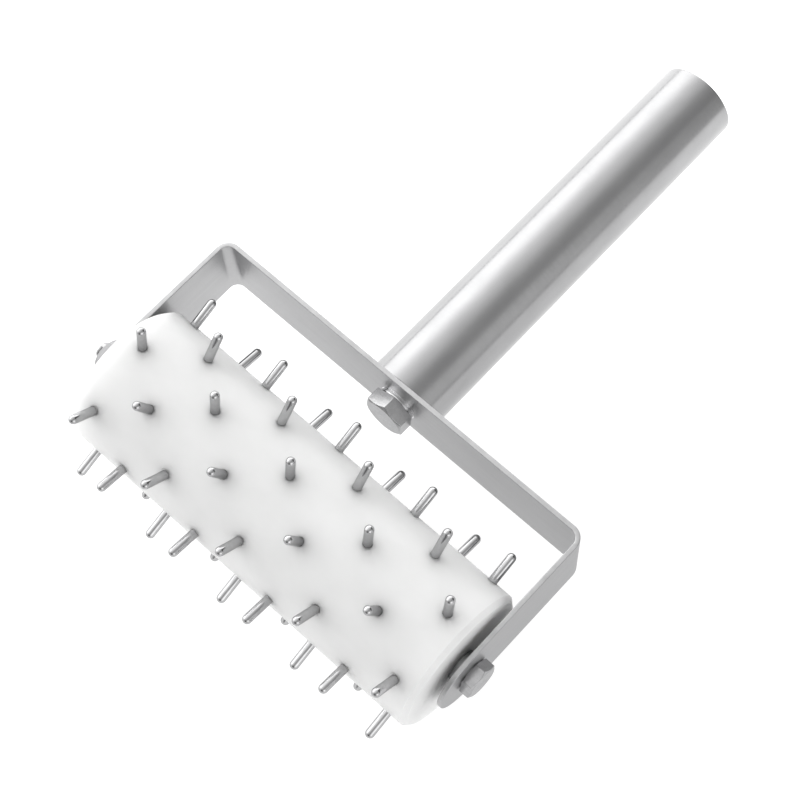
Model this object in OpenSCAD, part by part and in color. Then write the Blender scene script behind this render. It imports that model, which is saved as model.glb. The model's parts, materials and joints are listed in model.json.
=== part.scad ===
// Dough docker: a studded plastic roller that turns in a bent steel bracket with a tube handle.
// It lies on its pins and on the end of its handle, as it does on a worktop.
// Each piece is drawn in the tool's frame: X along the roller, Y along the handle, origin on the axle.
// The lie() module then sets it down on the surface at Z = 0.

/* [Roller] */
// Diameter of the plastic roller
roller_d = 46; // [40:1:60]
// Length of the plastic roller
roller_len = 131; // [100:1:180]
// Chamfer round the roller's two ends
roller_chamfer = 1.5; // [0.5:0.1:4]
// Space between each end of the roller and the bracket's arm
side_gap = 2.5; // [1:0.5:4]

/* [Pins] */
// Diameter of a pin
pin_d = 2.8; // [2:0.1:4]
// Height of a pin above the roller, up to the top of its dome
pin_out = 9.6; // [6:0.2:14]
// Depth of a pin's seat in the roller
pin_depth = 11; // [6:0.5:12]
// Number of rows round the roller
row_count = 12; // [8:2:16]
// Number of pins in a long row; the rows between have one less
long_row_pins = 5; // [3:1:7]
// Distance from the roller's end to the centre of the first pin of a long row
pin_end_gap = 7.5; // [5:0.5:14]
// Chamfer on the buried end of a pin
pin_chamfer = 0.4; // [0.2:0.1:0.6]

/* [Axle] */
// Diameter of the axle rod
axle_d = 10; // [8:0.5:12]
// Running clearance between the rod and the roller's bore, on the radius
axle_clearance = 0.08; // [0.03:0.01:0.1]
// Thread diameter of the hex bolt in the rod's right end and of the stud in its left end
axle_bolt_d = 6; // [4:1:6]
// Length of either thread inside the rod
axle_bolt_grip = 12; // [8:1:20]
// Width across flats of the bolt's head and of the nut
axle_head_af = 10; // [9:0.5:12]
// Height of the bolt's head
axle_head_h = 4; // [3:0.5:6]
// Height of the nut on the stud
axle_nut_h = 5.2; // [4:0.1:6.5]
// Length of stud that stands out of the nut
stud_out = 2.3; // [1:0.1:5]

/* [Bracket] */
// Width of the steel strip
strip_w = 25; // [18:1:32]
// Thickness of the steel strip
strip_t = 1.5; // [1:0.1:3]
// Inside radius of the two bends
bend_r = 3; // [2:0.5:8]
// Clear space between the turning pins and the head of the handle bolt
pin_head_gap = 6.5; // [5:0.1:12]

/* [Handle] */
// Outside diameter of the handle tube
tube_d = 25; // [22:1:32]
// Wall of the handle tube
tube_wall = 1.2; // [0.8:0.1:2]
// Length of the handle tube
tube_len = 134; // [100:1:170]
// Chamfer round the far end of the tube
tube_chamfer = 0.6; // [0.3:0.1:1]
// Length of the threaded plug in the near end of the tube
thread_plug_len = 20; // [16:1:30]
// Thickness of the plate that closes the far end of the tube
end_plate_t = 1.5; // [1:0.1:3]
// Length of the skirt that holds the end plug in the tube
end_skirt_len = 8; // [5:0.5:14]

/* [Handle bolt] */
// Thread diameter of the handle bolt
handle_bolt_d = 8; // [6:1:8]
// Width across flats of its head
handle_head_af = 13; // [11:0.5:15]
// Height of its head
handle_head_h = 5.3; // [4:0.1:7]
// Length of the handle bolt inside the threaded plug
handle_bolt_grip = 16; // [10:1:18]
// Outside diameter of the spring washer
washer_od = 12.6; // [12:0.2:14.8]
// Thickness of the spring washer
washer_t = 1.6; // [1.2:0.1:2.5]
// Width of the split in the spring washer
washer_split = 0.8; // [0.4:0.1:1.2]

/* [Fits] */
// Clearance round a bolt in its drilled hole, on the radius
hole_clearance = 0.25; // [0.2:0.05:0.5]
// Clearance left between a pressed or screwed piece and its seat, on the radius
seat_clearance = 0.02; // [0.01:0.01:0.04]

/* [Hidden] */
$fn = 64;

// Roller and pins
roller_r = roller_d / 2;
pin_r = pin_d / 2;
row_step = 360 / row_count;
pin_pitch = (roller_len - 2 * pin_end_gap) / (long_row_pins - 1);
pin_sweep_r = roller_r + pin_out;
dome_centre_r = pin_sweep_r - pin_r;

// Bracket: half the width between its arms, and the distance from the axle to its cross strip
arm_x = roller_len / 2 + side_gap;
reach = pin_sweep_r + pin_head_gap + handle_head_h + washer_t;
handle_y = reach + strip_t;
handle_end_y = handle_y + tube_len;
tube_r = tube_d / 2;
tube_bore_r = tube_r - tube_wall;

// Height of the round washer face under a hex head
washer_face_h = 0.3;
// Where each hex head and the nut happened to stop when it was tightened
axle_head_turn = 44;
axle_nut_turn = 42;
handle_head_turn = 26;

// Rest: two rows of pins share the weight, half a row step each side of straight down,
// and the lower edge of the tube's far end meets the same surface
axle_height = dome_centre_r * cos(row_step / 2) + pin_r;
rim_y = handle_end_y - tube_chamfer;
tilt = asin(axle_height / norm([rim_y, tube_r])) - atan2(tube_r, rim_y);
first_row_angle = tilt + row_step / 2;
// The box round the whole tool runs from the rear pins to the top of the tube's end
rear_y = -axle_height;
front_y = handle_end_y * cos(tilt) + (tube_r - tube_chamfer) * sin(tilt);
roller_y = -(rear_y + front_y) / 2;
// The nut and the stud make the left end longer than the right, so the roller is off the box's middle
roller_x = (axle_nut_h + stud_out - axle_head_h) / 2;

white = "#f4f4f2";
pin_grey = "#b9babb";
strip_grey = "#b4b5b6";
tube_grey = "#c4c5c6";
bolt_grey = "#cfd0d1";

// Sets the tool down on the surface, with the end of the handle lowered on to it
module lie() {
    translate([roller_x, roller_y, axle_height]) rotate([-tilt, 0, 0]) children();
}

// Turns a shape that stands on Z so that it points along X
module along_x() {
    rotate([0, 90, 0]) children();
}

// Turns a shape that stands on Z so that it points along Y
module along_y() {
    rotate([-90, 0, 0]) children();
}

// Carries a shape drawn for row i from the +Y side of the roller to that row's place
module at_row(i) {
    rotate([first_row_angle + (i - 1) * row_step, 0, 0]) children();
}

// Number of pins in row i: odd rows are long
function row_pins(i) = i % 2 == 1 ? long_row_pins : long_row_pins - 1;

// Places along the roller of the pins of row i
function row_xs(i) = [for (k = [0 : row_pins(i) - 1]) (k - (row_pins(i) - 1) / 2) * pin_pitch];

// Carries a shape that stands on Z = 0 to the outer face of an arm: side is 1 on the right, -1 on the left
module at_arm(side) {
    mirror([side < 0 ? 1 : 0, 0, 0]) translate([arm_x + strip_t, 0, 0]) along_x() children();
}

// Round bar from Z = low to Z = high with a chamfer at both ends
module chamfered_bar(r, low, high, chamfer) {
    rotate_extrude() polygon([
        [0, low],
        [r - chamfer, low],
        [r, low + chamfer],
        [r, high - chamfer],
        [r - chamfer, high],
        [0, high]
    ]);
}

// A hexagon's corners lie on one circle, and the chamfer of a head or nut leaves a round face on its flats
function hex_corner_r(af) = af / 2 / cos(30);
function hex_face_r(af) = af * 0.475;
function hex_chamfer_h(af) = (hex_corner_r(af) - hex_face_r(af)) * tan(30);

// Hex head with a chamfered top, standing on Z = 0 on its washer face
module hex_head(af, h) {
    cone_z = h - hex_chamfer_h(af);
    cylinder(r = hex_face_r(af), h = h / 2);
    intersection() {
        translate([0, 0, washer_face_h]) cylinder(r = hex_corner_r(af), h = h - washer_face_h, $fn = 6);
        union() {
            cylinder(r = hex_corner_r(af) + 1, h = cone_z);
            translate([0, 0, cone_z])
                cylinder(r1 = hex_corner_r(af), r2 = hex_face_r(af), h = hex_chamfer_h(af));
        }
    }
}

// Hex nut with both faces chamfered, standing on Z = 0
module hex_nut(d, af, h, turn) {
    cone_h = hex_chamfer_h(af);
    rotate([0, 0, turn]) difference() {
        intersection() {
            cylinder(r = hex_corner_r(af), h = h, $fn = 6);
            rotate_extrude() polygon([
                [0, 0],
                [hex_face_r(af), 0],
                [hex_corner_r(af), cone_h],
                [hex_corner_r(af), h - cone_h],
                [hex_face_r(af), h],
                [0, h]
            ]);
        }
        translate([0, 0, -1]) cylinder(r = d / 2 + seat_clearance, h = h + 2);
    }
}

// Hex bolt: its head stands on Z = 0 and its shank points down
module hex_bolt(d, af, h, len, turn) {
    tip_chamfer = d / 10;
    rotate([0, 0, turn]) hex_head(af, h);
    translate([0, 0, -len + tip_chamfer]) cylinder(d = d, h = len - tip_chamfer);
    translate([0, 0, -len]) cylinder(d1 = d - 2 * tip_chamfer, d2 = d, h = tip_chamfer);
}

// One pin, standing on Z, with Z measured from the axle
module pin() {
    foot = roller_r - pin_depth;
    translate([0, 0, foot]) cylinder(r1 = pin_r - pin_chamfer, r2 = pin_r, h = pin_chamfer);
    rotate_extrude() {
        translate([0, foot + pin_chamfer]) square([pin_r, dome_centre_r - foot - pin_chamfer]);
        translate([0, dome_centre_r]) intersection() {
            circle(r = pin_r);
            square([pin_r, pin_r]);
        }
    }
}

module pin_row(i) {
    color(pin_grey) lie() at_row(i)
        for (x = row_xs(i))
            translate([x, 0, 0]) along_y() pin();
}

module roller_body() {
    color(white) lie() difference() {
        along_x() chamfered_bar(roller_r, -roller_len / 2, roller_len / 2, roller_chamfer);
        along_x() translate([0, 0, -roller_len / 2 - 1])
            cylinder(r = axle_d / 2 + axle_clearance, h = roller_len + 2);
        for (i = [1 : row_count]) at_row(i)
            for (x = row_xs(i))
                translate([x, 0, 0]) along_y() translate([0, 0, roller_r - pin_depth - seat_clearance])
                    cylinder(r = pin_r + seat_clearance, h = pin_depth + 1);
    }
}

// Plain rod between the arms, tapped at both ends
module axle_rod() {
    tap_depth = axle_bolt_grip + axle_bolt_d / 2;
    color(bolt_grey) lie() along_x() difference() {
        translate([0, 0, -arm_x]) cylinder(d = axle_d, h = 2 * arm_x);
        for (end = [0, 1]) mirror([0, 0, end]) translate([0, 0, arm_x - tap_depth])
            cylinder(r = axle_bolt_d / 2 + seat_clearance, h = tap_depth + 1);
    }
}

// Headless bolt, or stud, that reaches out of the rod through the left arm and the nut
module axle_bolt_left() {
    color(bolt_grey) lie() at_arm(-1) chamfered_bar(
        axle_bolt_d / 2, -strip_t - axle_bolt_grip, axle_nut_h + stud_out, axle_bolt_d / 10
    );
}

module axle_nut_left() {
    color(bolt_grey) lie() at_arm(-1) hex_nut(axle_bolt_d, axle_head_af, axle_nut_h, axle_nut_turn);
}

module axle_bolt_right() {
    color(bolt_grey) lie() at_arm(1)
        hex_bolt(axle_bolt_d, axle_head_af, axle_head_h, strip_t + axle_bolt_grip, axle_head_turn);
}

// Outline of the bent strip, seen along its width
module strip_outline() {
    bend_y = reach - bend_r;
    bend_x = arm_x - bend_r;
    outer_r = bend_r + strip_t;
    translate([-bend_x, reach]) square([2 * bend_x, strip_t]);
    for (side = [0, 1]) mirror([side, 0]) {
        translate([arm_x, 0]) square([strip_t, bend_y]);
        translate([bend_x, bend_y]) intersection() {
            difference() {
                circle(r = outer_r);
                circle(r = bend_r);
            }
            square([outer_r, outer_r]);
        }
    }
}

module bracket() {
    arm_hole_r = axle_bolt_d / 2 + hole_clearance;
    handle_hole_r = handle_bolt_d / 2 + hole_clearance;
    color(strip_grey) lie() difference() {
        union() {
            translate([0, 0, -strip_w / 2]) linear_extrude(strip_w) strip_outline();
            for (side = [0, 1]) mirror([side, 0, 0]) translate([arm_x, 0, 0])
                along_x() cylinder(d = strip_w, h = strip_t);
        }
        along_x() translate([0, 0, -arm_x - strip_t - 1])
            cylinder(r = arm_hole_r, h = 2 * (arm_x + strip_t + 1));
        translate([0, reach - 1, 0]) along_y() cylinder(r = handle_hole_r, h = strip_t + 2);
    }
}

module handle_tube() {
    color(tube_grey) lie() translate([0, handle_y, 0]) along_y() rotate_extrude()
        polygon([
            [tube_bore_r, 0],
            [tube_r, 0],
            [tube_r, tube_len - tube_chamfer],
            [tube_r - tube_chamfer, tube_len],
            [tube_bore_r, tube_len]
        ]);
}

// Plug in the near end of the tube, tapped for the handle bolt
module handle_thread_plug() {
    color(bolt_grey) lie() translate([0, handle_y, 0]) along_y() difference() {
        cylinder(r = tube_bore_r - seat_clearance, h = thread_plug_len);
        translate([0, 0, -1]) cylinder(r = handle_bolt_d / 2 + seat_clearance, h = thread_plug_len + 2);
    }
}

// Pressed cup that closes the far end of the tube, flush with its edge
module handle_end_plug() {
    plug_r = tube_bore_r - seat_clearance;
    cup_len = end_plate_t + end_skirt_len;
    color(tube_grey) lie() translate([0, handle_end_y, 0]) along_y() difference() {
        translate([0, 0, -cup_len]) cylinder(r = plug_r, h = cup_len);
        translate([0, 0, -cup_len - 1]) cylinder(r = plug_r - end_plate_t, h = end_skirt_len + 1);
    }
}

// The head is on the roller's side of the bracket, over the spring washer
module handle_bolt() {
    color(bolt_grey) lie() translate([0, reach - washer_t, 0]) rotate([90, 0, 0])
        hex_bolt(
            handle_bolt_d, handle_head_af, handle_head_h,
            washer_t + strip_t + handle_bolt_grip, handle_head_turn
        );
}

// Ring with one slanted split, wound flat by the bolt
module spring_washer() {
    ring_r = washer_od / 2;
    color(pin_grey) lie() translate([0, reach, 0]) rotate([90, 0, 0]) difference() {
        cylinder(r = ring_r, h = washer_t);
        translate([0, 0, -1]) cylinder(r = handle_bolt_d / 2 + hole_clearance, h = washer_t + 2);
        rotate([0, 0, -35]) translate([ring_r / 2, 0, washer_t / 2]) rotate([35, 0, 0])
            cube([ring_r + 2, washer_split, 3 * washer_t], center = true);
    }
}

roller_body();
pin_row(1);  // pin_row_01
pin_row(2);  // pin_row_02
pin_row(3);  // pin_row_03
pin_row(4);  // pin_row_04
pin_row(5);  // pin_row_05
pin_row(6);  // pin_row_06
pin_row(7);  // pin_row_07
pin_row(8);  // pin_row_08
pin_row(9);  // pin_row_09
pin_row(10);  // pin_row_10
pin_row(11);  // pin_row_11
pin_row(12);  // pin_row_12
axle_rod();
axle_bolt_left();
axle_nut_left();
axle_bolt_right();
bracket();
handle_tube();
handle_thread_plug();
handle_end_plug();
handle_bolt();
spring_washer();
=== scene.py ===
# %% [markdown]
# # A studded pastry roller, dressed for its picture
#
# The roller turns in a bent steel strip, and a steel tube is bolted to the strip as its handle. It is
# used to prick pastry, so that the sheet doesn't blister in the oven. The solids of every part come
# ready made and in their places. This lesson gives the visible ones softened edges, turned domes,
# chamfered hex heads and metal or plastic finishes, and then sets up the table, the light and the camera.

# %% Load the solids
import json
import math

import bmesh
import bpy
from mathutils import Matrix, Vector


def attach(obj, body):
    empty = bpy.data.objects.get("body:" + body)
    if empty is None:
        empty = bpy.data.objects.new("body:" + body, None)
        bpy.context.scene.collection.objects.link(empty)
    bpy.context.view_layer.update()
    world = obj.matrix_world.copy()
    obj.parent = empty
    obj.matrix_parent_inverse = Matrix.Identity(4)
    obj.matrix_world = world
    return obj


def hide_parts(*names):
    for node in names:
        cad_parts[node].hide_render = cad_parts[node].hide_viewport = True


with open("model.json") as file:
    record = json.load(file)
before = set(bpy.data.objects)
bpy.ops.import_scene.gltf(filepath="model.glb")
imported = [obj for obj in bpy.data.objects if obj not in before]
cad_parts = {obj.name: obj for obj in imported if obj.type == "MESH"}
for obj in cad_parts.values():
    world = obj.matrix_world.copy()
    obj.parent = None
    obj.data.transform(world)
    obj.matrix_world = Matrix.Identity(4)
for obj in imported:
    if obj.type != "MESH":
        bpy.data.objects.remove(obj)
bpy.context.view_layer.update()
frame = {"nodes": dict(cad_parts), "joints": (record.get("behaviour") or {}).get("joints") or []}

nodes = frame["nodes"]

# %% [markdown]
# ## The tool's own frame
#
# The tool doesn't stand square on the table. It rests on its lowest pins and on the far end of its
# handle, so everything leans by six degrees. It is far easier to model a piece upright and square, and
# to lay it down once it is done. So each piece is drawn in the tool's own frame: X runs along the
# roller, Y along the handle, and the origin is on the axle. One matrix, `lying`, carries it to its place.

# %% Measures, and the matrix that lays the tool down
MM = 0.001
PIN_R, PIN_TOP = 1.4 * MM, 32.6 * MM
ARM_X = 68 * MM
STRIP_W, STRIP_T, BEND_R = 25 * MM, 1.5 * MM, 3 * MM
WASHER_R, WASHER_T = 6.3 * MM, 1.6 * MM
REACH = 46 * MM
TUBE_R, TUBE_BORE, TUBE_LEN = 12.5 * MM, 11.3 * MM, 134 * MM
END_CHAMFER = 0.6 * MM
HANDLE_Y = REACH + STRIP_T
HANDLE_END = HANDLE_Y + TUBE_LEN

axle = Vector(frame["joints"][0]["pos_m"])
rim_y = HANDLE_END - END_CHAMFER
tilt = math.asin(axle.z / math.hypot(rim_y, TUBE_R)) - math.atan2(TUBE_R, rim_y)
lying = Matrix.Translation(axle) @ Matrix.Rotation(-tilt, 4, "X")
print("axle at", [round(v * 1000, 2) for v in axle], "mm")
print("leaning by", round(math.degrees(tilt), 3), "degrees")

# %% [markdown]
# ## The camera
#
# The picture looks steeply down on the tool, from the right and a little in front, and the camera is
# rolled so that the handle points to the upper right. An aim and a roll could be set by eye, but it is
# surer to give the camera its three axes outright: which way its right side, its top and its back point.

# %% Place the camera
camera = bpy.data.objects.new("camera", bpy.data.cameras.new("camera"))
bpy.context.scene.collection.objects.link(camera)
right = Vector((0.7339, 0.6702, -0.1109))
up = Vector((-0.6131, 0.7238, 0.3167))
back = Vector((0.2925, -0.1644, 0.9420))
stand = Vector((0.16464, -0.12041, 0.55156))
camera.matrix_world = Matrix.Translation(stand) @ Matrix((right, up, back)).transposed().to_4x4()
camera.data.sensor_width = 36
camera.data.lens = 86.55
bpy.context.scene.camera = camera
print("camera lens", camera.data.lens, "mm, looking along", [round(-v, 3) for v in back])

# %% [markdown]
# ## Small helpers for working by hand in code
#
# Modelling goes through the same operators as the menus. An operator acts on whatever is selected, and
# the loaded solids start out selected, so each step first clears the selection. `pick` then selects
# faces, edges or corners by a question that is asked of each one: where it is, or which way it points.

# %% Helpers: select, edit, pick and modify
def clear():
    if bpy.context.object and bpy.context.object.mode != "OBJECT":
        bpy.ops.object.mode_set(mode="OBJECT")
    bpy.ops.object.select_all(action="DESELECT")


def focus(piece):
    clear()
    piece.select_set(True)
    bpy.context.view_layer.objects.active = piece


def edit(piece):
    focus(piece)
    bpy.ops.object.mode_set(mode="EDIT")
    bpy.ops.mesh.select_all(action="DESELECT")


def pick(piece, kind, wanted):
    bpy.ops.mesh.select_mode(type=kind)
    bpy.ops.mesh.select_all(action="DESELECT")
    mesh = bmesh.from_edit_mesh(piece.data)
    mesh.normal_update()
    parts = {"VERT": mesh.verts, "EDGE": mesh.edges, "FACE": mesh.faces}[kind]
    found = [part for part in parts if wanted(part)]
    for part in found:
        part.select_set(True)
    mesh.select_flush_mode()
    bmesh.update_edit_mesh(piece.data)
    return len(found)


def modify(piece, kind, **settings):
    focus(piece)
    bpy.ops.object.modifier_add(type=kind)
    modifier = piece.modifiers[-1]
    for setting, value in settings.items():
        setattr(modifier, setting, value)
    bpy.ops.object.modifier_apply(modifier=modifier.name)


# %% [markdown]
# Three more helpers finish every piece. `soften` rounds the hard edges a little, because no real edge
# is perfectly sharp and the thin bright lines along edges are what makes metal look like metal. `cut`
# takes one shape out of another. `lay_down` moves the piece to its place and leaves that place in its
# mesh, and then says which body carries it and which solid it stands for.

# %% Helpers: soften, cut and lay down
def soften(piece, width, segments, angle=35):
    modify(
        piece, "BEVEL", width=width, segments=segments, limit_method="ANGLE",
        angle_limit=math.radians(angle), use_clamp_overlap=True, harden_normals=False,
    )
    focus(piece)
    bpy.ops.object.shade_smooth_by_angle(angle=math.radians(40))
    modify(piece, "WEIGHTED_NORMAL", keep_sharp=True)


def cut(piece, tool, operation="DIFFERENCE"):
    modify(piece, "BOOLEAN", object=tool, operation=operation, solver="EXACT")
    focus(tool)
    bpy.ops.object.delete()


def lay_down(piece, place, body, *stands_for):
    piece.matrix_world = lying @ place
    focus(piece)
    bpy.ops.object.transform_apply(location=True, rotation=True, scale=True)
    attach(piece, body)
    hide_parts(*stands_for)
    low = [round(min(v.co[i] for v in piece.data.vertices) * 1000, 2) for i in range(3)]
    high = [round(max(v.co[i] for v in piece.data.vertices) * 1000, 2) for i in range(3)]
    print(piece.name, len(piece.data.polygons), "faces, box in mm", low, high)


along_x = Matrix.Rotation(math.radians(90), 4, "Y")
along_y = Matrix.Rotation(math.radians(-90), 4, "X")
toward_roller = Matrix.Rotation(math.radians(90), 4, "X")

# %% [markdown]
# ## Sleeves
#
# The handle tube and the spring washer start as the same thing: a thick ring. An open cylinder is
# added, its two rims are extruded and drawn inward to the size of the bore, and the two inner rims are
# bridged to make the bore's wall.

# %% Helper: a thick ring that stands on Z = 0
def sleeve(name, outer, bore, length, sides):
    clear()
    bpy.ops.mesh.primitive_cylinder_add(
        vertices=sides, radius=outer, depth=length, end_fill_type="NOTHING", location=(0, 0, length / 2)
    )
    piece = bpy.context.object
    piece.name = name
    bpy.ops.object.transform_apply(location=True, rotation=True, scale=True)
    edit(piece)
    pick(piece, "EDGE", lambda edge: edge.is_boundary)
    bpy.ops.mesh.extrude_region_move()
    bpy.ops.transform.resize(value=(bore / outer, bore / outer, 1), center_override=(0, 0, 0))
    pick(piece, "EDGE", lambda edge: edge.is_boundary)
    bpy.ops.mesh.bridge_edge_loops()
    bpy.ops.mesh.select_all(action="SELECT")
    bpy.ops.mesh.normals_make_consistent(inside=False)
    clear()
    print(name, "starts as a ring of", len(piece.data.polygons), "faces")
    return piece


# %% [markdown]
# ## The pins
#
# Each pin is a short steel rod with a turned dome on top, pressed into a blind seat in the roller. A ball
# is the quickest start: when its lower half is flattened and pulled down, the ball becomes a rod with a
# round top and a blunt foot. Twelve rows stand round the roller, five pins and four pins by turns. One
# pin is modelled and the rows are made of copies of it, each turned another way about its own length.

# %% Model one pin
PIN_FOOT, BLUNT = 12 * MM, 0.3
dome_z = PIN_TOP - PIN_R
clear()
bpy.ops.mesh.primitive_uv_sphere_add(segments=32, ring_count=20, radius=PIN_R, location=(0, 0, dome_z))
pin = bpy.context.object
bpy.ops.object.transform_apply(location=True, rotation=True, scale=True)
edit(pin)
pick(pin, "VERT", lambda v: v.co.z < dome_z - 0.01 * MM)
bpy.ops.transform.resize(value=(1, 1, BLUNT), center_override=(0, 0, dome_z))
bpy.ops.transform.translate(value=(0, 0, PIN_FOOT - dome_z + BLUNT * PIN_R))
clear()
focus(pin)
bpy.ops.object.shade_smooth()
print("one pin:", len(pin.data.polygons), "faces")

# %% Copy the pin into twelve rows
PIN_PITCH = 29 * MM
rows = []
for number in range(1, 13):
    count = 5 if number % 2 else 4
    row_pins = []
    for place in range(count):
        clear()
        copy = pin.copy()
        copy.data = pin.data.copy()
        bpy.context.scene.collection.objects.link(copy)
        x = (place - (count - 1) / 2) * PIN_PITCH
        spun = Matrix.Rotation(math.radians(37 * place + 61 * number), 4, "Z")
        copy.matrix_world = Matrix.Translation((x, 0, 0)) @ along_y @ spun
        row_pins.append(copy)
    clear()
    for copy in row_pins:
        copy.select_set(True)
    bpy.context.view_layer.objects.active = row_pins[0]
    bpy.ops.object.transform_apply(location=True, rotation=True, scale=True)
    bpy.ops.object.join()
    row = bpy.context.object
    row.name = "pins_%02d" % number
    turn = Matrix.Rotation(tilt + math.radians(15 + 30 * (number - 1)), 4, "X")
    lay_down(row, turn, "roller", "pin_row_%02d" % number)
    rows.append(row)
focus(pin)
bpy.ops.object.delete()
print("rows of pins:", len(rows))

# %% [markdown]
# ## The bracket
#
# One steel strip is bent twice into a bracket that reaches round both ends of the roller. Its arms end in
# half circles round the axle. It is modelled as it is bent: half of the cross strip is a thin box, its
# end face is spun through a right angle for the bend, and the same face is extruded for the arm.
# Bevelling the arm's last two corners by half its width rounds the end. A mirror makes the other half.
# One long drill then makes the holes in both arms, and a short one makes the handle bolt's hole.

# %% Bend the strip
clear()
half = ARM_X - BEND_R
bpy.ops.mesh.primitive_cube_add(
    size=1, location=(half / 2, REACH + STRIP_T / 2, 0), scale=(half, STRIP_T, STRIP_W)
)
strip = bpy.context.object
strip.name = "bent_strip"
bpy.ops.object.transform_apply(location=True, rotation=True, scale=True)
edit(strip)
pick(strip, "FACE", lambda face: face.normal.x < -0.9)
bpy.ops.mesh.delete(type="FACE")
pick(strip, "FACE", lambda face: face.normal.x > 0.9)
bpy.ops.mesh.spin(steps=14, angle=math.radians(90), center=(half, REACH - BEND_R, 0), axis=(0, 0, 1))
ends = pick(strip, "FACE", lambda face: abs(face.calc_center_median().y - REACH + BEND_R) < 0.02 * MM)
print("faces at the end of the bend:", ends)
bpy.ops.mesh.extrude_region_move(TRANSFORM_OT_translate={"value": (0, -(REACH - BEND_R) - STRIP_W / 2, 0)})
rounded = pick(
    strip, "EDGE",
    lambda e: all(v.co.y < -STRIP_W / 2 + 0.1 * MM for v in e.verts)
    and abs(e.verts[0].co.x - e.verts[1].co.x) > 1 * MM,
)
bpy.ops.mesh.bevel(offset=STRIP_W / 2 - 0.02 * MM, segments=24, clamp_overlap=False)
clear()
print("strip: corners rounded", rounded, "faces", len(strip.data.polygons))

# %% Mirror it, drill it and soften its edges
AXLE_HOLE_R, HANDLE_HOLE_R = 3.25 * MM, 4.25 * MM
modify(strip, "MIRROR", use_axis=(True, False, False), use_mirror_merge=True, merge_threshold=0.01 * MM)
for radius, depth, place in [
    (AXLE_HOLE_R, 160 * MM, along_x),
    (HANDLE_HOLE_R, 6 * MM, Matrix.Translation((0, REACH, 0)) @ along_y),
]:
    clear()
    bpy.ops.mesh.primitive_cylinder_add(vertices=64, radius=radius, depth=depth)
    drill = bpy.context.object
    drill.matrix_world = place
    cut(strip, drill)
soften(strip, 0.22 * MM, 3)
lay_down(strip, Matrix.Identity(4), "frame", "bracket")

# %% [markdown]
# ## The handle
#
# The handle is a plain steel tube. Its near end stands flat on the strip. Its far end is turned down a
# little, and a pressed cup closes it, so that no dough or water gets in. The tube is a sleeve. The outer
# rim of its far end is bevelled first, and then every hard edge is softened.

# %% Model the tube
tube = sleeve("handle_sleeve", TUBE_R, TUBE_BORE, TUBE_LEN, 128)
edit(tube)
pick(
    tube, "EDGE",
    lambda e: all(v.co.z > TUBE_LEN - 0.1 * MM and v.co.xy.length > TUBE_R - 0.1 * MM for v in e.verts),
)
bpy.ops.mesh.bevel(offset=END_CHAMFER, segments=4)
clear()
soften(tube, 0.12 * MM, 2)
lay_down(tube, Matrix.Translation((0, HANDLE_Y, 0)) @ along_y, "frame", "handle_tube")

# %% [markdown]
# The cup is drawn from sheet: a flat end with a rounded corner, and a skirt that grips the tube's bore.
# The middle of its end is pressed in a little, which stiffens it. It starts as a cylinder without its
# near end; the far face is inset and pushed in, and a solidify modifier gives the sheet its thickness.

# %% Model the end cup
clear()
cup_r, cup_len = TUBE_BORE - 0.02 * MM, 9.5 * MM
bpy.ops.mesh.primitive_cylinder_add(vertices=96, radius=cup_r, depth=cup_len, location=(0, 0, -cup_len / 2))
cup = bpy.context.object
cup.name = "end_cup"
bpy.ops.object.transform_apply(location=True, rotation=True, scale=True)
edit(cup)
pick(cup, "FACE", lambda face: face.normal.z < -0.9)
bpy.ops.mesh.delete(type="FACE")
pick(cup, "FACE", lambda face: face.normal.z > 0.9)
bpy.ops.mesh.inset(thickness=3.2 * MM, depth=0)
bpy.ops.mesh.inset(thickness=0.7 * MM, depth=-0.45 * MM)
bpy.ops.mesh.inset(thickness=2.5 * MM, depth=0)
pick(cup, "EDGE", lambda e: all(v.co.z > -0.01 * MM and v.co.xy.length > cup_r - 0.1 * MM for v in e.verts))
bpy.ops.mesh.bevel(offset=0.5 * MM, segments=4)
clear()
modify(cup, "SOLIDIFY", thickness=1.0 * MM, offset=-1)
soften(cup, 0.1 * MM, 2, angle=25)
lay_down(cup, Matrix.Translation((0, HANDLE_END, 0)) @ along_y, "frame", "handle_end_plug")

# %% [markdown]
# ## The bolts, the stud and the nut
#
# The handle bolt and the axle bolt are the same kind in two sizes, and the nut on the axle's other end is
# their close relative. A hexagon is a six sided prism whose face has been turned on a lathe, and that is
# what gives each flat its curved edge. So the prism is cut by a wide cone, exactly as the lathe does it.

# %% Helper: turn the top of a six sided prism
def turn_top(prism, flats, top_z):
    """Cuts the prism by a cone that falls away at 30 degrees from a circle just inside the flats."""
    clear()
    top, drop, fall = 0.475 * flats, top_z + 2 * MM, math.radians(30)
    bpy.ops.mesh.primitive_cone_add(
        vertices=128, radius1=top + drop / math.tan(fall), radius2=top, depth=drop,
        location=(0, 0, top_z - drop / 2),
    )
    cut(prism, bpy.context.object, "INTERSECT")


def hexagon(name, flats, low, high):
    clear()
    corner = flats / 2 / math.cos(math.radians(30))
    bpy.ops.mesh.primitive_cylinder_add(
        vertices=6, radius=corner, depth=high - low, location=(0, 0, (low + high) / 2)
    )
    prism = bpy.context.object
    prism.name = name
    bpy.ops.object.transform_apply(location=True, rotation=True, scale=True)
    return prism


# %% [markdown]
# A shank carries a rolled thread. One zigzag that the screw modifier winds up the core makes it. The core
# is a cylinder with bevelled tips. It is a little thicker than the thread's roots, which sink into it,
# so no gap shows between them. Core, root and crest are given as shares of half the thread's size.

# %% Helpers: the core of a shank that hangs from Z = 0, and joining parts
CORE, ROOT, CREST = 0.86, 0.855, 0.995


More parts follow.
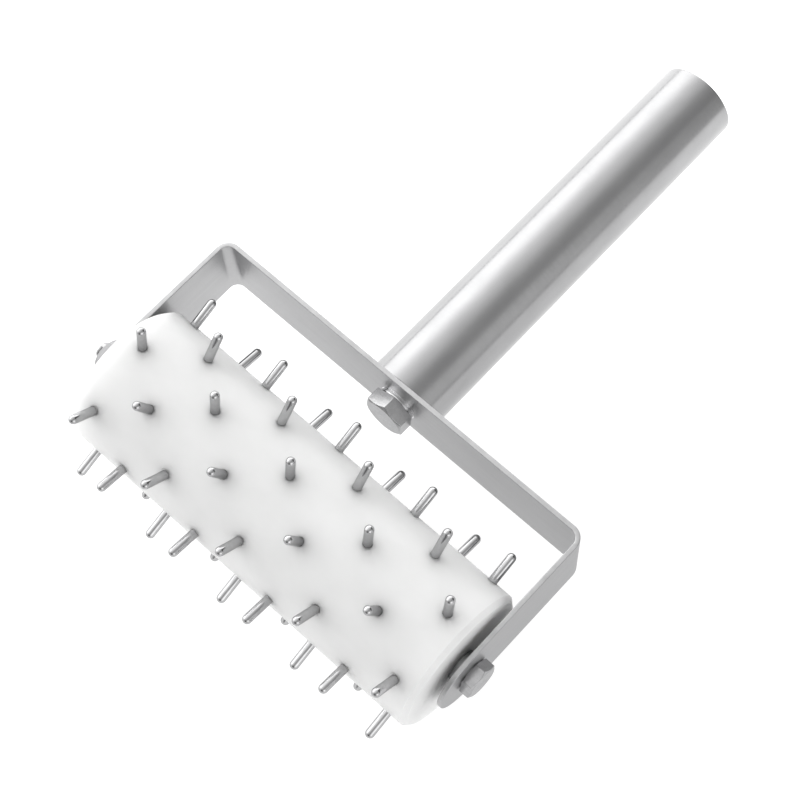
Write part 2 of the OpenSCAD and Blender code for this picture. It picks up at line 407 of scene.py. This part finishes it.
def shank_core(size, length, tips):
    clear()
    bpy.ops.mesh.primitive_cylinder_add(
        vertices=48, radius=size / 2 * CORE, depth=length, location=(0, 0, -length / 2)
    )
    core = bpy.context.object
    bpy.ops.object.transform_apply(location=True, rotation=True, scale=True)
    edit(core)
    pick(core, "EDGE", lambda e: any(all(abs(v.co.z - tip) < 0.1 * MM for v in e.verts) for tip in tips))
    bpy.ops.mesh.bevel(offset=size * 0.09, segments=2)
    clear()
    return core


def join_parts(name, *parts):
    focus(parts[0])
    for part in parts:
        part.select_set(True)
    bpy.ops.object.join()
    parts[0].name = name
    print(name, "has", len(parts[0].data.polygons), "faces")
    return parts[0]


# %% Helper: wind the thread
def wind_thread(size, pitch, length, plain):
    clear()
    root, crest, lead = size / 2 * ROOT, size / 2 * CREST, size * 0.12
    bpy.ops.mesh.primitive_plane_add(size=1)
    thread = bpy.context.object
    edit(thread)
    bpy.ops.mesh.select_all(action="SELECT")
    bpy.ops.mesh.delete(type="VERT")
    mesh = bmesh.from_edit_mesh(thread.data)
    zigzag = [(root, 0), (crest, 0.4), (crest, 0.55), (root, 0.95)]
    line = [mesh.verts.new((r, 0, -length + lead + k * pitch)) for r, k in zigzag]
    for a, b in zip(line, line[1:]):
        mesh.edges.new((a, b))
    bmesh.update_edit_mesh(thread.data)
    clear()
    turns = int((length - lead - plain) / pitch)
    modify(
        thread, "SCREW", screw_offset=pitch, iterations=turns, steps=24, render_steps=24,
        use_merge_vertices=False, use_smooth_shade=True, use_normal_calculate=True,
    )
    return thread


# %% [markdown]
# A bolt's head has a turned top, and under it is the thin round washer face, which leaves a dark line under
# the hexagon. The washer face grows out of the top of the shank.

# %% Helper: a hex bolt whose head stands on Z = 0
def hex_bolt(name, size, pitch, flats, head, length):
    lift, face_r = 0.3 * MM, 0.46 * flats
    bolt = hexagon(name, flats, lift, head + lift)
    turn_top(bolt, flats, head)
    soften(bolt, 0.12 * MM, 2, angle=20)
    core = shank_core(size, length, [-length])
    edit(core)
    pick(core, "FACE", lambda face: face.normal.z > 0.9)
    grow = face_r / (size / 2 * CORE)
    bpy.ops.mesh.extrude_region_move()
    bpy.ops.transform.resize(value=(grow, grow, 1), center_override=(0, 0, 0))
    bpy.ops.mesh.extrude_region_move(TRANSFORM_OT_translate={"value": (0, 0, lift + 0.05 * MM)})
    clear()
    focus(core)
    bpy.ops.object.shade_smooth_by_angle(angle=math.radians(40))
    return join_parts(name, bolt, core, wind_thread(size, pitch, length, 2.2 * MM))


# %% [markdown]
# Each head stopped where it happened to be when it was tight, so the hexagons aren't lined up with
# anything. The handle bolt sits inside the bracket and points its shank into the tube. The axle bolt
# sits outside the right arm and screws into the rod that the roller turns on.

# %% Make the two bolts
def corner_at(degrees):
    """Turns a hexagon until its first corner, which starts 30 degrees from its X axis, is at this angle."""
    return Matrix.Rotation(math.radians(degrees - 30), 4, "Z")


handle_bolt = hex_bolt(
    "handle_hex_bolt", size=8 * MM, pitch=1.25 * MM, flats=13 * MM, head=5.3 * MM, length=19.1 * MM
)
place = Matrix.Translation((0, REACH - WASHER_T, 0)) @ toward_roller @ corner_at(26)
lay_down(handle_bolt, place, "frame", "handle_bolt")

axle_bolt = hex_bolt(
    "axle_hex_bolt", size=6 * MM, pitch=1 * MM, flats=10 * MM, head=4 * MM, length=13.5 * MM
)
place = Matrix.Translation((ARM_X + STRIP_T, 0, 0)) @ along_x @ corner_at(44)
lay_down(axle_bolt, place, "frame", "axle_bolt_right")

# %% [markdown]
# The rod's left end carries a stud instead, which is a bolt without a head. It comes out through the arm,
# and a nut holds it there. The nut is turned on both faces, so it is turned over for the second cut.
# Two threads of the stud stand out of it.

# %% Make the stud and its nut
NUT_H, NUT_BORE_R = 5.2 * MM, 3.02 * MM
STUD_DEEP, STUD_OUT = 12 * MM, 2.3 * MM
left_arm = Matrix.Translation((-ARM_X - STRIP_T, 0, 0)) @ Matrix.Rotation(math.radians(-90), 4, "Y")
stud_len = STUD_DEEP + STRIP_T + NUT_H + STUD_OUT
core = shank_core(6 * MM, stud_len, [0, -stud_len])
focus(core)
bpy.ops.object.shade_smooth_by_angle(angle=math.radians(40))
stud = join_parts("axle_stud", core, wind_thread(6 * MM, 1 * MM, stud_len, 0.7 * MM))
lay_down(stud, left_arm @ Matrix.Translation((0, 0, NUT_H + STUD_OUT)), "frame", "axle_bolt_left")

nut = hexagon("axle_nut", 10 * MM, 0, NUT_H)
for face in ("first", "second"):
    turn_top(nut, 10 * MM, NUT_H)
    nut.matrix_world = Matrix.Translation((0, 0, NUT_H)) @ Matrix.Rotation(math.radians(180), 4, "X")
    focus(nut)
    bpy.ops.object.transform_apply(location=True, rotation=True, scale=True)
clear()
bpy.ops.mesh.primitive_cylinder_add(vertices=48, radius=NUT_BORE_R, depth=20 * MM)
cut(nut, bpy.context.object)
soften(nut, 0.12 * MM, 2, angle=20)
lay_down(nut, left_arm @ corner_at(-42), "frame", "axle_nut_left")

# %% [markdown]
# ## The spring washer
#
# A split ring of hard steel wire, almost square in section, is squeezed flat under the handle bolt and
# keeps it from working loose. It is a sleeve with one slanted cut. A fine groove runs round the middle
# of its outer wall, so that the ring shows two bright lines.

# %% Model the spring washer
washer = sleeve("split_washer", WASHER_R, HANDLE_HOLE_R, WASHER_T, 96)
edit(washer)
pick(washer, "FACE", lambda f: abs(f.normal.z) < 0.1 and f.normal.xy @ f.calc_center_median().xy > 0)
bpy.ops.mesh.inset(thickness=0.55 * MM, depth=0)
bpy.ops.mesh.inset(thickness=0.08 * MM, depth=-0.25 * MM)
clear()
bpy.ops.mesh.primitive_cube_add(size=1, scale=(8.5 * MM, 0.8 * MM, 6 * MM))
slit = bpy.context.object
turned = Matrix.Rotation(math.radians(-35), 4, "Z") @ Matrix.Translation((WASHER_R / 2, 0, WASHER_T / 2))
slit.matrix_world = turned @ Matrix.Rotation(math.radians(35), 4, "X") @ slit.matrix_world
cut(washer, slit)
soften(washer, 0.16 * MM, 3)
lay_down(washer, Matrix.Translation((0, REACH, 0)) @ toward_roller, "frame", "spring_washer")

# %% [markdown]
# ## Finishes: how a material is put together here
#
# All the finishes are procedural. A Principled shader carries the constant values on its own sockets,
# and only what varies is linked: a drift of colour, some roughness and a little bump. Patterns are placed
# by Object coordinates, turned into the tool's own frame by a Mapping node, so that grain runs along the
# strip and round the tube. With the Mapping node in its Texture mode the scale is simply the size of a
# grain. On the pins, the strip and the bolts Specular Tint is below white, which dims what they mirror
# at glancing angles, as fine scratches do.

# %% Helpers for the finishes
def new_finish(name, colour, roughness, metallic=1.0):
    finish = bpy.data.materials.new(name)
    finish.use_nodes = True
    shader = finish.node_tree.nodes["Principled BSDF"]
    shader.inputs["Base Color"].default_value = (*colour, 1)
    shader.inputs["Roughness"].default_value = roughness
    shader.inputs["Metallic"].default_value = metallic
    return finish, finish.node_tree, shader


def grain(tree, size, detail):
    """A noise whose grains have this size, in millimetres, along the tool's X, Y and Z."""
    where = tree.nodes.new("ShaderNodeTexCoord")
    mapping = tree.nodes.new("ShaderNodeMapping")
    mapping.vector_type = "TEXTURE"
    mapping.inputs["Location"].default_value = axle
    mapping.inputs["Rotation"].default_value = (-tilt, 0, 0)
    mapping.inputs["Scale"].default_value = [s * MM for s in size]
    noise = tree.nodes.new("ShaderNodeTexNoise")
    noise.inputs["Scale"].default_value = 1.0
    noise.inputs["Detail"].default_value = detail
    tree.links.new(where.outputs["Object"], mapping.inputs["Vector"])
    tree.links.new(mapping.outputs["Vector"], noise.inputs["Vector"])
    return noise.outputs["Fac"]


def spread(tree, value, low, high, start=0.3, end=0.7):
    """Stretches a noise between two values."""
    span = tree.nodes.new("ShaderNodeMapRange")
    span.inputs["From Min"].default_value = start
    span.inputs["From Max"].default_value = end
    span.inputs["To Min"].default_value = low
    span.inputs["To Max"].default_value = high
    tree.links.new(value, span.inputs["Value"])
    return span.outputs["Result"]


def add_bump(tree, shader, height, distance, under=None):
    """Adds a bump this deep, on top of the one under it where there is one."""
    bump = tree.nodes.new("ShaderNodeBump")
    bump.inputs["Distance"].default_value = distance
    tree.links.new(height, bump.inputs["Height"])
    if under:
        tree.links.new(under, bump.inputs["Normal"])
    tree.links.new(bump.outputs["Normal"], shader.inputs["Normal"])
    return bump.outputs["Normal"]


def tint(tree, shader, value, dark, light):
    """Lets the base colour drift between two colours."""
    mix = tree.nodes.new("ShaderNodeMix")
    mix.data_type = "RGBA"
    mix.inputs["A"].default_value = (*dark, 1)
    mix.inputs["B"].default_value = (*light, 1)
    tree.links.new(value, mix.inputs["Factor"])
    tree.links.new(mix.outputs["Result"], shader.inputs["Base Color"])


# %% [markdown]
# ## The roller's plastic
#
# The roller is white moulded plastic that has been turned to size: satin, slightly see-through at the
# surface, with faint rings left by the turning tool and a few smooth unevennesses. Light scatters some
# way under the skin, and Subsurface does the same, which softens the shadows at the feet of the pins.

# %% White plastic
plastic, tree, shader = new_finish("satin_white_plastic", (0.765, 0.767, 0.763), 0.42, 0.0)
shader.inputs["Subsurface Weight"].default_value = 1.0
shader.inputs["Subsurface Radius"].default_value = (1, 1, 1)
shader.inputs["Subsurface Scale"].default_value = 0.014
shader.inputs["Specular IOR Level"].default_value = 0.4
cloud = spread(tree, grain(tree, (14, 9, 9), 3), 0, 1)
tint(tree, shader, cloud, (0.75, 0.751, 0.748), (0.78, 0.781, 0.778))
tree.links.new(spread(tree, grain(tree, (1.1, 9, 9), 3), 0.38, 0.5), shader.inputs["Roughness"])
rings = add_bump(tree, shader, grain(tree, (0.45, 30, 30), 2), 0.006 * MM)
add_bump(tree, shader, grain(tree, (6, 5, 5), 1), 0.05 * MM, under=rings)
print("plastic nodes:", len(tree.nodes))

# %% [markdown]
# ## Bright pins
#
# The pins are drawn stainless rod, tumbled until they shine. They reflect the white roller, the table
# and the room as thin stripes, so their finish is nearly a mirror with the faintest cloud in it.

# %% Tumbled pin steel
pin_steel, tree, shader = new_finish("tumbled_pin_steel", (0.48, 0.48, 0.485), 0.1)
shader.inputs["Specular Tint"].default_value = (0.6, 0.6, 0.605, 1)
cloud = spread(tree, grain(tree, (1.6, 1.6, 1.6), 2), 0, 1)
tint(tree, shader, cloud, (0.45, 0.45, 0.455), (0.51, 0.51, 0.515))
tree.links.new(spread(tree, grain(tree, (0.5, 0.5, 0.5), 2), 0.08, 0.14), shader.inputs["Roughness"])
add_bump(tree, shader, grain(tree, (0.9, 0.9, 0.9), 2), 0.004 * MM)
print("pin steel nodes:", len(tree.nodes))

# %% [markdown]
# ## Strip steel
#
# The strip is cold rolled stainless with a satin skin. Its grain runs along the strip, round both bends,
# so the pattern changes mostly across the strip's width. A second, wider cloud keeps the long flat
# faces from looking like plain paint.

# %% Satin strip steel
strip_steel, tree, shader = new_finish("satin_strip_steel", (0.44, 0.44, 0.444), 0.4)
shader.inputs["Specular Tint"].default_value = (0.8, 0.8, 0.805, 1)
cloud = spread(tree, grain(tree, (22, 22, 5), 3), 0, 1)
tint(tree, shader, cloud, (0.43, 0.43, 0.434), (0.45, 0.45, 0.454))
tree.links.new(spread(tree, grain(tree, (24, 24, 0.5), 3), 0.36, 0.44), shader.inputs["Roughness"])
lines = add_bump(tree, shader, grain(tree, (26, 26, 0.16), 2), 0.001 * MM)
add_bump(tree, shader, grain(tree, (16, 16, 9), 1), 0.06 * MM, under=lines)
print("strip steel nodes:", len(tree.nodes))

# %% [markdown]
# The strip was cut from a sheet, and its narrow edges were then rubbed with a belt. They are duller and
# whiter than the rolled faces, and scatter the light of the whole room.

# %% Belted edge of the strip
edge_steel, tree, shader = new_finish("belted_edge_steel", (0.46, 0.46, 0.464), 0.4)
cloud = spread(tree, grain(tree, (3, 3, 0.8), 3), 0, 1)
tint(tree, shader, cloud, (0.43, 0.43, 0.434), (0.5, 0.5, 0.504))
tree.links.new(spread(tree, grain(tree, (1.5, 1.5, 0.6), 2), 0.34, 0.46), shader.inputs["Roughness"])
add_bump(tree, shader, grain(tree, (4, 4, 0.3), 2), 0.006 * MM)
print("edge steel nodes:", len(tree.nodes))

# %% [markdown]
# ## Tube steel
#
# The tube was ground between wheels while it turned, so its fine lines run round it. Lines that run
# round a tube leave reflections crisp from side to side, and that is why the handle shows clean
# lengthwise bands.

# %% Ground tube steel
tube_steel, tree, shader = new_finish("ground_tube_steel", (0.385, 0.385, 0.389), 0.2)
cloud = spread(tree, grain(tree, (6, 11, 6), 3), 0, 1)
tint(tree, shader, cloud, (0.37, 0.37, 0.374), (0.4, 0.4, 0.404))
tree.links.new(spread(tree, grain(tree, (12, 0.6, 12), 3), 0.16, 0.25), shader.inputs["Roughness"])
add_bump(tree, shader, grain(tree, (12, 0.22, 12), 2), 0.003 * MM)
print("tube steel nodes:", len(tree.nodes))

# %% [markdown]
# ## Bolt steel
#
# The bolts are cold headed and washed in zinc, shinier than the strip and a little uneven from the
# die. The threaded plug and the axle rod are turned bar of much the same colour.

# %% Bright bolt steel
bolt_steel, tree, shader = new_finish("bright_bolt_steel", (0.4, 0.4, 0.404), 0.2)
shader.inputs["Specular Tint"].default_value = (0.8, 0.8, 0.805, 1)
cloud = spread(tree, grain(tree, (2.5, 2.5, 2.5), 3), 0, 1)
tint(tree, shader, cloud, (0.38, 0.38, 0.384), (0.43, 0.43, 0.434))
tree.links.new(spread(tree, grain(tree, (0.7, 0.7, 0.7), 3), 0.18, 0.27), shader.inputs["Roughness"])
add_bump(tree, shader, grain(tree, (1.2, 1.2, 1.2), 2), 0.02 * MM)
print("bolt steel nodes:", len(tree.nodes))

# %% [markdown]
# The spring washer is hardened and then zinc plated, which leaves it whiter than anything round it.

# %% Plated washer steel
washer_steel, tree, shader = new_finish("plated_washer_steel", (0.72, 0.72, 0.725), 0.16)
tree.links.new(spread(tree, grain(tree, (0.8, 0.8, 0.8), 2), 0.12, 0.2), shader.inputs["Roughness"])
add_bump(tree, shader, grain(tree, (1.5, 1.5, 1.5), 1), 0.01 * MM)
print("washer steel nodes:", len(tree.nodes))

# %% [markdown]
# ## Give every piece its finish
#
# Each new piece is given its finish as its only material. The three loaded solids that stay
# as they are, the roller, the axle rod and the threaded plug, get the new finish in the slot that they
# already have. On the strip, the narrow sides and the round ends of the arms get the belted finish.

# %% Dress the pieces
def dress(piece, finish):
    piece.data.materials.clear()
    piece.data.materials.append(finish)


for row in rows:
    dress(row, pin_steel)
dress(washer, washer_steel)
dress(strip, strip_steel)
strip.data.materials.append(edge_steel)
across = (lying.to_3x3() @ Vector((0, 0, 1))).normalized()
for face in strip.data.polygons:
    narrow_side = abs(face.normal @ across) > 0.8
    round_end = abs(face.normal.x) < 0.5 and (lying.inverted() @ face.center).y < 0
    if narrow_side or round_end:
        face.material_index = 1
dress(tube, tube_steel)
dress(cup, tube_steel)
for piece in (handle_bolt, axle_bolt, stud, nut):
    dress(piece, bolt_steel)
for name, finish in [("roller_body", plastic), ("axle_rod", bolt_steel), ("handle_thread_plug", bolt_steel)]:
    nodes[name].material_slots[0].material = finish
print("dressed:", len(rows) + 8, "new pieces and 3 solids")

# %% [markdown]
# ## The table
#
# The tool lies on a plain white table that is lit from below, as studios use to lose the shadows of
# small goods. Much of the white is the table's own light, and the rest is what falls on it. The glow is
# painted stronger on the left, a painted pool of the light that falls from the left, and beyond the tool it
# is painted fading to pale grey, a painted shade, so that a white roller still stands out when somebody
# looks at it from the side.

# %% Make the table
clear()
bpy.ops.mesh.primitive_circle_add(vertices=96, radius=4, fill_type="NGON")
table = bpy.context.object
table.name = "white_table"
table_white, tree, shader = new_finish("lit_table_white", (0.25, 0.25, 0.25), 0.9, 0.0)
shader.inputs["Specular IOR Level"].default_value = 0.1
shader.inputs["Emission Color"].default_value = (1, 1, 1, 1)
spot = tree.nodes.new("ShaderNodeTexCoord").outputs["Object"]
leftward = tree.nodes.new("ShaderNodeVectorMath")
leftward.operation = "DOT_PRODUCT"
leftward.inputs[1].default_value = (-0.8, 0.6, 0)
tree.links.new(spot, leftward.inputs[0])
distance = tree.nodes.new("ShaderNodeVectorMath")
distance.operation = "LENGTH"
tree.links.new(spot, distance.inputs[0])
# Painted light: the emission is painted stronger on the left as a pool of the left light, and painted fading
# far from the tool as shade.
painted_light_glow = tree.nodes.new("ShaderNodeMath")
painted_light_glow.operation = "MULTIPLY"
tree.links.new(spread(tree, leftward.outputs["Value"], 0.84, 1.5, -50 * MM, 120 * MM), painted_light_glow.inputs[0])
tree.links.new(spread(tree, distance.outputs["Value"], 1, 0.3, 240 * MM, 620 * MM), painted_light_glow.inputs[1])
tree.links.new(painted_light_glow.outputs[0], shader.inputs["Emission Strength"])
table.data.materials.append(table_white)
print("table radius 4 m")

# %% [markdown]
# ## The light
#
# The handle tells how the room was lit. Its left side mirrors a broad bright wall low on the left, the
# brightness falls toward the ceiling, there is a dim stretch to the right of straight up, and a little
# more light low on the right. A ramp round the handle's direction gives just that room, and since it
# is all broad light, it is soft. Each stop of the ramp is an angle from straight up, in degrees to the
# right, and a brightness.

# %% Light the room round the handle
world = bpy.data.worlds.new("soft_room")
bpy.context.scene.world = world
world.use_nodes = True
tree = world.node_tree
sky = tree.nodes["Background"]
room = [
    (-150, 1.6), (-92, 2.3), (-76, 2.6), (-60, 2.65), (-50, 2.45), (-40, 2.0), (-30, 1.6), (-20, 1.33),
    (-10, 1.13), (0, 0.95), (10, 0.72), (20, 0.58), (36, 0.5), (48, 0.58), (56, 0.82), (64, 0.88),
    (78, 0.9), (90, 0.8), (150, 0.8),
]
brightest = max(value for _, value in room)
where = tree.nodes.new("ShaderNodeTexCoord")
split = tree.nodes.new("ShaderNodeSeparateXYZ")
swap = tree.nodes.new("ShaderNodeCombineXYZ")
around = tree.nodes.new("ShaderNodeTexGradient")
around.gradient_type = "RADIAL"
ramp = tree.nodes.new("ShaderNodeValToRGB")
tree.links.new(where.outputs["Generated"], split.inputs[0])
tree.links.new(split.outputs["Z"], swap.inputs["X"])
tree.links.new(split.outputs["X"], swap.inputs["Y"])
tree.links.new(swap.outputs[0], around.inputs["Vector"])
tree.links.new(around.outputs["Fac"], ramp.inputs["Fac"])
tree.links.new(ramp.outputs["Color"], sky.inputs["Color"])
stops = ramp.color_ramp.elements
while len(stops) < len(room):
    stops.new(0.5)
for stop, (angle, _) in zip(stops, room):
    stop.position = angle / 360 + 0.5
for stop, (_, value) in zip(stops, room):
    stop.color = (value / brightest,) * 3 + (1,)
print("room light has", len(stops), "stops")

# %% [markdown]
# Three broad spots correct the room: a dark corner beyond the handle, whose image is the dark crescent
# on each pin's dome, a dim front, and a lamp on the right in front. Each is a direction, the two cosines
# between which it fades in, and the strength outside and inside it. The strengths are multiplied.

# %% Correct the light with three broad spots
strength = None
for toward, start, end, outside, inside in [
    ((0.45, 0.88, 0.12), 0.78, 0.93, brightest, 0.15 * brightest),
    ((0, -1, 0), 0.4, 0.9, 1, 0.3),
    ((0.8, -0.5, 0.33), 0.82, 0.94, 1, 2.2),
]:
    corner = tree.nodes.new("ShaderNodeVectorMath")
    corner.operation = "DOT_PRODUCT"
    corner.inputs[1].default_value = Vector(toward).normalized()
    tree.links.new(where.outputs["Generated"], corner.inputs[0])
    share = spread(tree, corner.outputs["Value"], outside, inside, start, end)
    if strength:
        product = tree.nodes.new("ShaderNodeMath")
        product.operation = "MULTIPLY"
        tree.links.new(strength, product.inputs[0])
        tree.links.new(share, product.inputs[1])
        share = product.outputs[0]
    strength = share
tree.links.new(strength, sky.inputs["Strength"])
print("world nodes so far:", len(tree.nodes))

# %% [markdown]
# Where the camera looks past the table, it sees a plain pale wall. The wall lights nothing, because only
# the rays that come straight from the camera are shown it.

# %% Stand a plain wall behind the table
wall = tree.nodes.new("ShaderNodeBackground")
wall.inputs["Color"].default_value = (0.74, 0.74, 0.74, 1)
choice = tree.nodes.new("ShaderNodeMixShader")
tree.links.new(tree.nodes.new("ShaderNodeLightPath").outputs["Is Camera Ray"], choice.inputs[0])
tree.links.new(sky.outputs[0], choice.inputs[1])
tree.links.new(wall.outputs[0], choice.inputs[2])
tree.links.new(choice.outputs[0], tree.nodes["World Output"].inputs["Surface"])
bpy.context.scene.view_settings.view_transform = "Standard"
print("world nodes:", len(tree.nodes))
